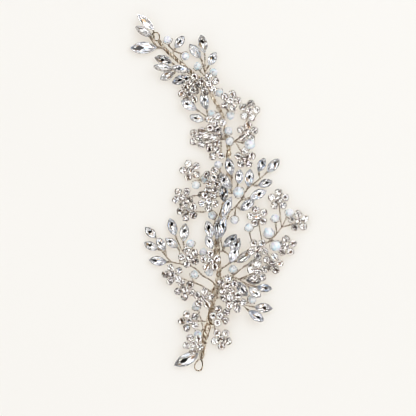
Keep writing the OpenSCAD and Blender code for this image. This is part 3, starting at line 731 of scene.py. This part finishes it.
# A bead's sides, the angles of its belts from the bore, and the shares of its four facet looks:
# white, cyan and lilac glass, and grey facets that are a painted darker reflection
BEAD_SIDES, BEAD_BELTS, BEAD_SHARES = 8, (22, 56, 90, 124, 158), (0.56, 0.2, 0.12, 0.12)


def bead_seat(head):
    """A bead's middle, with its bore along Y."""
    return head.seat() @ Matrix.Translation((0, 0, head.r - TWIG_R))


def bead_glass(form, head):
    """A faceted drum-like ball, its flat ends at the bore."""
    n = BEAD_SIDES
    polar = [math.radians(a) for a in BEAD_BELTS]
    spin = rng.uniform(0, 1)
    pts, faces = [], []
    for row, p in enumerate(polar):
        for k in range(n):
            a = (k + 0.5 * (row % 2) + spin) * math.tau / n
            pts.append((head.r * math.sin(p) * math.cos(a), head.r * math.cos(p),
                        head.r * math.sin(p) * math.sin(a)))
    for row in range(len(polar) - 1):
        for k in range(n):
            a, b = row * n + k, row * n + (k + 1) % n
            c, d = a + n, b + n
            if row % 2 == 0:
                faces += [[a, b, c], [b, d, c]]
            else:
                faces += [[a, d, c], [a, b, d]]
    faces.append(list(range(n))[::-1])
    faces.append([(len(polar) - 1) * n + k for k in range(n)])
    kinds = rng.choices(range(len(BEAD_SHARES)), BEAD_SHARES, k=len(faces))
    form.add(pts, faces, kinds, bead_seat(head))


def bead_wire(form, head):
    """Wire through the bead, and half a hoop behind it that meets the twig."""
    a = np.linspace(0, math.pi, 17)
    hoop = np.stack([-head.hoop * np.sin(a), head.hoop * np.cos(a), 0 * a], axis=1)
    pin = np.array([(0, -head.hoop, 0), (0, 0, 0), (0, head.hoop, 0)])
    for line in (hoop, pin):
        tube(form, placed(line, bead_seat(head)), PIN_R, 6)


# Wires: each is two strands, with their radius, their distance from the line and their pitch
MAIN_WIRE, HEAD_WIRE, FILLER_WIRE = (0.21, 0.2, 2.3), (0.18, 0.17, 2.0), (0.16, 0.15, 2.0)
TIP_THICK = 1.45  # the spray at the tip is of thicker wire
MAIN_REST_Z, KNOT_REST_Z = 0.42, 0.54  # lowest lines that don't dip under the surface
LEAF_GRIP, HOOP_GRIP = 0.1, 0.4  # where a head's wire ends: share of the leaf, and of the pin
KNOT_WIRE_R, KNOT_PITCH, KNOT_STEP = 0.1, 0.3, 0.2  # a winding at a setting; its line's steps


def route(s):
    """The points of a spray's twig, from the stem outwards."""
    x, y = stem_at(SPRAYS[s][1])
    out = [np.array((x, y, STEM_Z))]
    for px, py, *rise in SPRAYS[s][2]:
        out.append(np.array((px * UNIT, py * UNIT, TWIG_Z + (rise[0] * UNIT if rise else 0))))
    return out


def head_line(a, head):
    """The head's own twig, from a point of its spray's twig."""
    c, s = head.way()
    if head.kind == FLOWER:
        d = np.array((head.x, head.y, head.z))
    elif head.leaf:
        along = LEAF_GRIP * head.length
        d = np.array((head.x + along * math.cos(head.pitch) * c,
                      head.y + along * math.cos(head.pitch) * s,
                      head.z + head.lift + along * math.sin(head.pitch)))
    else:
        out = head.hoop + HOOP_GRIP * PIN_R
        d = np.array((head.x - out * c, head.y - out * s, head.z - TWIG_R + head.r))
    flat = (d - a) * (1, 1, 0)
    b = a + 0.35 * flat
    if head.kind == FLOWER:
        e = np.array((*(d - 0.2 * flat)[:2], a[2] + 0.6 * (d[2] - a[2])))
    else:
        e = d - 0.35 * np.linalg.norm(flat) * np.array((c, s, 0))
    return bezier(a, b, e, d)


def filler_line(a, to):
    """A bent wire from a point of the twig up to a lone stone's cup."""
    lift = (0, 0, 0.5 * (to[2] - a[2]))
    return bezier(a, a * 0.6 + to * 0.4 - lift, a * 0.2 + to * 0.8 - lift, to)


def twist(form, line, wire, thick=1, phase=0.0):
    """Two strands twisted round each other along a line."""
    strand_r, off, pitch = wire
    rope(form, line, 2, strand_r * thick, off * thick, pitch, phase=phase)


def knot(form, line, part, off):
    """A fine winding on a part of a head's wire, where it meets its setting."""
    near, _at = even(line, KNOT_STEP)
    near[:, 2] = np.maximum(near[:, 2], KNOT_REST_Z)
    coil(form, near[part], KNOT_WIRE_R, off, KNOT_PITCH)


# Materials
def material(name, rough, base, metal=0.0, **sockets):
    """A Principled material, with its nodes, links and shader."""
    m = bpy.data.materials.new(name)
    m.use_nodes = True
    nodes, links = m.node_tree.nodes, m.node_tree.links
    b = nodes["Principled BSDF"]
    b.inputs["Base Color"].default_value = (*base, 1)
    b.inputs["Metallic"].default_value = metal
    b.inputs["Roughness"].default_value = rough
    for key, value in sockets.items():
        b.inputs[key.replace("_", " ")].default_value = value
    return m, nodes, links, b


NOISE_LOW, NOISE_HIGH = 0.3, 0.7  # where nearly all values of the noise lie
BUMP_STRENGTH, BUMP_DEPTH = 0.15, 0.00003


def noise(nodes, links, scale, detail=3.0):
    where = nodes.new("ShaderNodeTexCoord")
    n = nodes.new("ShaderNodeTexNoise")
    n.inputs["Scale"].default_value = scale
    n.inputs["Detail"].default_value = detail
    links.new(where.outputs["Object"], n.inputs["Vector"])
    return n.outputs["Fac"]


def between(nodes, links, value, low, high):
    r = nodes.new("ShaderNodeMapRange")
    r.inputs["From Min"].default_value = NOISE_LOW
    r.inputs["From Max"].default_value = NOISE_HIGH
    r.inputs["To Min"].default_value = low
    r.inputs["To Max"].default_value = high
    links.new(value, r.inputs["Value"])
    return r.outputs["Result"]


def tint(nodes, links, value, low, high, spread=0.15):
    """A colour between two, blended over the noise's middle part."""
    r = nodes.new("ShaderNodeValToRGB")
    r.color_ramp.elements[0].position = 0.5 - spread
    r.color_ramp.elements[1].position = 0.5 + spread
    r.color_ramp.elements[0].color = (*low, 1)
    r.color_ramp.elements[1].color = (*high, 1)
    links.new(value, r.inputs["Fac"])
    return r.outputs["Color"]


def bumpy(nodes, links, shader, height):
    b = nodes.new("ShaderNodeBump")
    b.inputs["Strength"].default_value = BUMP_STRENGTH
    b.inputs["Distance"].default_value = BUMP_DEPTH
    links.new(height, b.inputs["Height"])
    links.new(b.outputs["Normal"], shader.inputs["Normal"])


def metal(name, dark, light, rough_low, rough_high, scale, spread=0.15):
    """Plated metal: fine noise gives its tarnish, roughness and bump; on the cups its near-black
    part is painted shade round the stones.
    """
    m, nodes, links, b = material(name, rough_low, light, 1.0)
    n = noise(nodes, links, scale)
    links.new(tint(nodes, links, n, dark, light, spread), b.inputs["Base Color"])
    links.new(between(nodes, links, n, rough_low, rough_high), b.inputs["Roughness"])
    bumpy(nodes, links, b, noise(nodes, links, scale * 3))
    return m


SILVER = metal("plated_silver", (0.60, 0.55, 0.49), (0.90, 0.86, 0.80), 0.14, 0.3, 900)
# The cups' near-black speckle, sharply split from the pale metal, is painted shade in the gaps
# and outlines round the stones.
SHADED_CUP_METAL = metal("cup_silver_painted_shade", (0.07, 0.045, 0.03), (0.86, 0.81, 0.75),
                  0.2, 0.34, 1300, 0.07)
RIM_METAL = metal("rim_silver", (0.34, 0.33, 0.32), (0.70, 0.69, 0.68), 0.2, 0.34, 1200)
WIRE = metal("twisted_wire", (0.24, 0.19, 0.14), (0.78, 0.71, 0.62), 0.2, 0.38, 1300)
STEM = metal("champagne_wire", (0.50, 0.40, 0.29), (0.97, 0.92, 0.83),
             0.24, 0.42, 900, 0.08)
TIP_WIRE = metal("tip_wire", (0.12, 0.09, 0.06), (0.66, 0.57, 0.46),
                 0.24, 0.42, 1100, 0.08)
DARK_WIRE = metal("aged_wire", (0.10, 0.065, 0.03), (0.42, 0.31, 0.20), 0.3, 0.5, 900)


def crystal(name, base):
    m, nodes, links, b = material(name, 0.0, base, IOR=1.58, Transmission_Weight=1.0)
    n = noise(nodes, links, 160)
    links.new(between(nodes, links, n, 0.0, 0.03), b.inputs["Roughness"])
    return m


def foil(name, dark, light):
    """The mirror on the back of a stone; it shows through the clear crown. Its grey, dark and
    coloured copies are painted reflections.
    """
    m, nodes, links, b = material(name, 0.02, light, 1.0)
    links.new(tint(nodes, links, noise(nodes, links, 110, 1.0), dark, light),
              b.inputs["Base Color"])
    return m


# Looks of the stones, in the order of the kinds of facet: the clear crown, the pale foil, then
# painted grey and dark reflections and the painted amber and blue ones
CRYSTAL = crystal("cut_crystal", (0.98, 0.99, 1.0))
COLOURED_REFLECTIONS = [foil("painted_amber_reflection", (0.22, 0.13, 0.06), (0.52, 0.37, 0.22)),
         foil("painted_blue_reflection", (0.52, 0.63, 0.80), (0.70, 0.79, 0.90))]
LEAF_LOOK = [CRYSTAL, foil("cool_foil", (0.95, 0.95, 0.965), (0.985, 0.985, 0.98)),
             foil("painted_grey_reflection", (0.52, 0.54, 0.58), (0.66, 0.66, 0.67)),
             foil("painted_dark_reflection", (0.012, 0.012, 0.016), (0.07, 0.055, 0.04))] + COLOURED_REFLECTIONS
ROUND_LOOK = [CRYSTAL, foil("warm_foil", (0.95, 0.945, 0.935), (0.99, 0.99, 0.985)),
              foil("painted_taupe_reflection", (0.42, 0.35, 0.29), (0.64, 0.58, 0.52)),
              foil("painted_brown_reflection", (0.03, 0.014, 0.007), (0.13, 0.07, 0.04))] + COLOURED_REFLECTIONS


def bead(name, dark, light):
    """Milky glass with an iridescent tint; the grey one is a painted darker reflection on some
    facets.
    """
    m, nodes, links, b = material(name, 0.06, light, IOR=1.6, Transmission_Weight=0.36)
    links.new(tint(nodes, links, noise(nodes, links, 420, 1.0), dark, light),
              b.inputs["Base Color"])
    return m


GLASS = [bead("bead_white", (0.88, 0.92, 0.96), (0.96, 0.98, 1.0)),
         bead("bead_cyan", (0.64, 0.86, 0.97), (0.82, 0.95, 1.0)),
         bead("bead_lilac", (0.76, 0.75, 0.92), (0.90, 0.89, 0.99)),
         bead("bead_painted_grey_reflection", (0.45, 0.48, 0.52), (0.66, 0.68, 0.70))]

# The pieces
HUB_SPIN = 0.3  # turns the prongs of a middle stone against those of the petals
for s, name in enumerate(NAMES):
    wires, setting = Form(), Form()
    guide = route(s)
    main = smooth_line(guide)
    thick = TIP_THICK if name == "tip_spray" else 1
    main[:, 2] = np.maximum(main[:, 2], MAIN_REST_Z * thick)
    twist(wires, main, MAIN_WIRE, thick, s)
    for h in (h for h in FILLERS if h.spray == s):
        for seat, room in zip(petal_seats(h), h.room):
            if room:
                cup(setting, seat, HUB_SPIN)
                twist(wires, filler_line(guide[h.start], np.array(seat.translation)), FILLER_WIRE)
    for h in (h for h in HEADS if h.spray == s):
        line = head_line(guide[h.start], h)
        twist(wires, line, HEAD_WIRE, thick, h.x)
        if h.kind == FLOWER:
            for i, seat in enumerate(petal_seats(h)):
                cup(setting, seat, 0.0 if i else HUB_SPIN)
        elif h.leaf:
            leaf_rim(setting, h)
            knot(wires, line, slice(-14, -3), 0.42)
        else:
            bead_wire(setting, h)
            knot(wires, line, slice(-9, None), 0.4)
    wires.make(name + ".twist", [WIRE], "silver_plate", smooth=True)
    setting.make(name + ".settings", [SILVER, SHADED_CUP_METAL, RIM_METAL], "silver_plate", [name])

# The stem: a tight twist at the tip, long strands along the middle and a loose bundle below,
# with fine binding wires and a tight winding at each joint. Each wire has its radius, its
# distance from the line (or across and up) and its pitch. Loose strands have their number,
# how far they spread, and their radius.
TIP_STRAND, TIP_BINDING = (0.42, 0.38, 2.7), (0.14, 0.7, 2.7)
UPPER_STRAND, UPPER_BINDING, UPPER_CROSS = (0.4, 0.42, 15.0), (0.12, 0.84, 2.6), (0.1, 0.84, -4.4)
MIDDLE_STRANDS, MIDDLE_BINDING = (4, 0.85, 0.2), (0.12, (1.05, 0.84), 3.1)
BUNDLE_STRANDS, BUNDLE_BINDING = (9, 1.12, 0.2), (0.11, (1.28, 0.7), 3.3)
BUNDLE_CROSS = (0.1, (1.22, 0.66), -7.1)
JOINT_WINDING = (0.17, 0.88, 0.36)
stem_form = Form()
core = smooth_line([(x, y, STEM_Z) for x, y in STEM_XY])
tip, upper_run, middle_run, bundle = (core[a * SPAN:b * SPAN + 1] for a, b in (
    (0, 5), (5, 9), (9, 12), (12, len(STEM_XY) - 1)))
for phase, strand_kind in ((0, PALE), (math.pi, AGED)):
    rope(stem_form, tip, 1, *TIP_STRAND, 8, 14, phase, strand_kind)
    coil(stem_form, tip, *TIP_BINDING, per_turn=14, kind=BROWN, phase=phase + math.pi / 2)
rope(stem_form, np.concatenate([upper_run, middle_run[1:]]), 3, *UPPER_STRAND, sides=8,
     per_turn=30)
coil(stem_form, upper_run, *UPPER_BINDING, per_turn=14, kind=BROWN)
coil(stem_form, upper_run, *UPPER_CROSS, per_turn=14, phase=1.0)
loose(stem_form, middle_run, *MIDDLE_STRANDS)
coil(stem_form, middle_run, *MIDDLE_BINDING, per_turn=14, kind=BROWN)
loose(stem_form, bundle, *BUNDLE_STRANDS)
coil(stem_form, bundle, *BUNDLE_BINDING, per_turn=14, kind=BROWN)
coil(stem_form, bundle, *BUNDLE_CROSS, per_turn=18, phase=1.0)
for _name, t, _points, _rows in SPRAYS:
    x, y = stem_at(t)
    x2, y2 = stem_at(t + 0.01)
    d = np.array((x2 - x, y2 - y, 0))
    d /= np.linalg.norm(d)
    c = np.array((x, y, STEM_Z))
    line = [c - d * KNOT_LEN / 2, c, c + d * KNOT_LEN / 2]
    coil(stem_form, line, *JOINT_WINDING, per_turn=14, phase=t)
# A ring of brown wire that lies on the stem round one petal of a flower
RING_TURNS, RING_ACROSS, RING_ALONG, RING_DOWN, RING_Z, RING_R = 2.6, 2.0, 3.6, 0.4, 2.0, 0.2
RING_PETAL = 3
for h in HEADS:
    if h.kind == FLOWER and SPRAYS[h.spray][0] == "bottom_right_spray" and h.y > 100 * UNIT:
        hub = petal_seats(h)[RING_PETAL].translation
        turns = np.linspace(0, RING_TURNS * math.tau, 80)
        grow = 1 + 0.05 * np.sin(turns / RING_TURNS)
        ring_line = np.stack([hub.x + RING_ACROSS * grow * np.cos(turns),
                              hub.y - RING_DOWN + RING_ALONG * grow * np.sin(turns),
                              RING_Z + 0.12 * turns / math.tau], axis=1)
        tube(stem_form, ring_line, RING_R, 7, BROWN)
stem_form.make("stem.wound", [STEM, DARK_WIRE, TIP_WIRE], "stem_wire", ["stem"], smooth=True)

# Stones and beads: the first leaves in the order of laying are nodes of their own
OWN_LEAVES, HALF_WAY, ROUND_TILT, LEAF_TILT = 27, 450 * UNIT, 5, 2
upper, lower, small_leaves, beads = Form(), Form(), Form(), Form()
leaf_number = 0
for h in laid + FILLERS:
    if h.kind == FLOWER:
        for seat, room in zip(petal_seats(h), getattr(h, "room", [True] * (PETALS + 1))):
            if not room:
                continue
            spin = Matrix.Rotation(rng.uniform(0, math.tau), 4, "Z")
            at = Matrix.Translation((0, 0, PLATE_T + CUP_H))
            round_stone(upper if h.y > HALF_WAY else lower,
                        seat @ at @ wobble(ROUND_TILT) @ spin)
    elif h.leaf:
        leaf_number += 1
        own = leaf_number <= OWN_LEAVES
        form = Form() if own else small_leaves
        at = Matrix.Translation((h.length / 2, 0, PLATE_T + RIM_H)) @ wobble(LEAF_TILT)
        leaf_stone(form, h.length, h.width, h.seat() @ at)
        if own:
            form.make("leaf_crystal_%02d" % leaf_number, LEAF_LOOK, "leaf_stone",
                      ["leaf_stone_%02d" % leaf_number])
    else:
        bead_glass(beads, h)
upper.make("upper_flower_crystals", ROUND_LOOK, "round_stone", ["upper_flower_stones"])
lower.make("lower_flower_crystals", ROUND_LOOK, "round_stone", ["lower_flower_stones"])
small_leaves.make("small_leaf_crystals", LEAF_LOOK, "leaf_stone", ["small_leaf_stones"])
beads.make("faceted_beads", GLASS, "bead_glass", ["glass_beads"])

# The end loops, of the same twisted wire: the lower one is drawn out longer than its node
hooks = {m["name"]: Vector(m["pos_m"][:2]) / MM for m in frame["record"]["mounts"]}
LOOP_WIRE, LOOP_START, LOOP_TAPER = (0.21, 0.17, 2.1), 0.4, 0.3
for node, end, grow in (("lower_loop", STEM_XY[-1], 1.3), ("upper_loop", STEM_XY[0], 1.0)):
    start = Vector(end)
    way = (hooks[node] - start).normalized()
    near, far = LOOP_START, LOOP_REACH * grow - FINE_D / 2
    turn = np.linspace(0, math.tau, 49)
    along = (near + far) / 2 - (far - near) / 2 * np.cos(turn)
    across = (LOOP_W + FINE_D) / 2 * np.sin(turn) * (1 - LOOP_TAPER * np.cos(turn))
    loop = Form()
    twist(loop, np.stack([start.x + along * way.x - across * way.y,
                          start.y + along * way.y + across * way.x,
                          np.full(len(turn), STEM_Z)], axis=1), LOOP_WIRE)
    loop.make(node + ".twist", [TIP_WIRE], "stem_wire", [node], smooth=True)

# Floor, light, camera
FLOOR_HALF, FLOOR_Z = 3.0, -0.00002
floor_mesh = bpy.data.meshes.new("floor")
floor_mesh.from_pydata([(x * FLOOR_HALF, y * FLOOR_HALF, FLOOR_Z)
                        for x, y in ((-1, -1), (1, -1), (1, 1), (-1, 1))],
                       [], [(0, 1, 2, 3)])
floor = bpy.data.objects.new("floor", floor_mesh)
bpy.context.scene.collection.objects.link(floor)
paper, paper_nodes, paper_links, paper_shader = material("pale_paper", 0.75, (0.26, 0.31, 0.36))
paper_links.new(tint(paper_nodes, paper_links, noise(paper_nodes, paper_links, 6),
                     (0.257, 0.307, 0.357), (0.263, 0.313, 0.363)),
                paper_shader.inputs["Base Color"])
# A faint glow keeps the shadows on it as pale as in the photograph
paper_shader.inputs["Emission Color"].default_value = (1.0, 0.863, 0.69, 1)
paper_shader.inputs["Emission Strength"].default_value = 0.572
floor_mesh.materials.append(paper)


def studio():
    """A white room with a dark place overhead, where the camera is, and a few dark, amber and
    blue patches for the stones to show."""
    world = bpy.data.worlds.new("studio")
    bpy.context.scene.world = world
    world.use_nodes = True
    nodes, links = world.node_tree.nodes, world.node_tree.links
    where = nodes.new("ShaderNodeTexCoord").outputs["Generated"]
    split = nodes.new("ShaderNodeSeparateXYZ")
    links.new(where, split.inputs[0])

    def ramp(value, stops):
        r = nodes.new("ShaderNodeValToRGB")
        while len(r.color_ramp.elements) < len(stops):
            r.color_ramp.elements.new(0.5)
        for e, (p, c) in zip(r.color_ramp.elements, stops):
            e.position, e.color = p, (*c, 1)
        links.new(value, r.inputs["Fac"])
        return r.outputs["Color"]

    def multiply(a, b):
        n = nodes.new("ShaderNodeMix")
        n.data_type, n.blend_type = "RGBA", "MULTIPLY"
        n.inputs["Factor"].default_value = 1.0
        links.new(a, n.inputs["A"])
        links.new(b, n.inputs["B"])
        return n.outputs["Result"]

    height = ramp(split.outputs["Z"], [
        (0.0, (0.5, 0.43, 0.36)), (0.18, (0.84, 0.79, 0.73)), (0.42, (1.0, 0.99, 0.975)),
        (0.978, (1.0, 1.0, 1.0)), (0.99, (0.08, 0.08, 0.08)), (1.0, (0.02, 0.02, 0.02))])
    blobs = nodes.new("ShaderNodeTexNoise")
    blobs.inputs["Scale"].default_value = 3.4
    blobs.inputs["Detail"].default_value = 1.0
    links.new(where, blobs.inputs["Vector"])
    patch = ramp(blobs.outputs["Fac"], [
        (0.0, (0.02, 0.02, 0.02)), (0.33, (0.03, 0.03, 0.035)), (0.37, (0.5, 0.35, 0.22)),
        (0.42, (0.85, 0.86, 0.88)), (0.5, (1.0, 1.0, 1.0)), (0.57, (0.82, 0.83, 0.86)),
        (0.64, (1.0, 1.0, 1.0)), (0.70, (0.72, 0.82, 0.95))])
    back = nodes["Background"]
    links.new(multiply(height, patch), back.inputs["Color"])
    back.inputs["Strength"].default_value = 1.5


studio()


def lamp(name, at, aim, size, power, colour):
    data = bpy.data.lights.new(name, "AREA")
    data.shape, data.size, data.energy, data.color = "DISK", size, power, colour
    obj = bpy.data.objects.new(name, data)
    obj.location = at
    obj.rotation_mode = "QUATERNION"
    obj.rotation_quaternion = (Vector(aim) - Vector(at)).to_track_quat("-Z", "Y")
    bpy.context.scene.collection.objects.link(obj)


lamp("key", (0.35, 0.45, 0.8), (0, 0.07, 0), 0.6, 2.5, (1.0, 0.98, 0.95))

# The camera looks straight down from over the photograph's middle. ORIGIN is the frame's
# origin in the photograph, in pixels. At the height MID_Z a pixel is PIXEL mm wide.
SENSOR, LENS, PHOTO, ORIGIN, PIXEL, MID_Z = 36, 180, 416, (199, 365), 0.448, 3.0
camera_data = bpy.data.cameras.new("camera")
camera_data.sensor_width = SENSOR
camera_data.lens = LENS
camera = bpy.data.objects.new("camera", camera_data)
camera.location = ((PHOTO / 2 - ORIGIN[0]) * PIXEL * MM, (ORIGIN[1] - PHOTO / 2) * PIXEL * MM,
                   (PHOTO * PIXEL * LENS / SENSOR + MID_Z) * MM)
camera_data.clip_end = 10
bpy.context.scene.collection.objects.link(camera)
bpy.context.scene.camera = camera

# Enough bounces for light to find its way out of a stone, and a crisp picture
light_paths = bpy.context.scene.cycles
light_paths.max_bounces = 32
light_paths.glossy_bounces = light_paths.transmission_bounces = 24
light_paths.filter_width = 0.6

view = bpy.context.scene.view_settings
view.view_transform = "Standard"
view.look = "None"
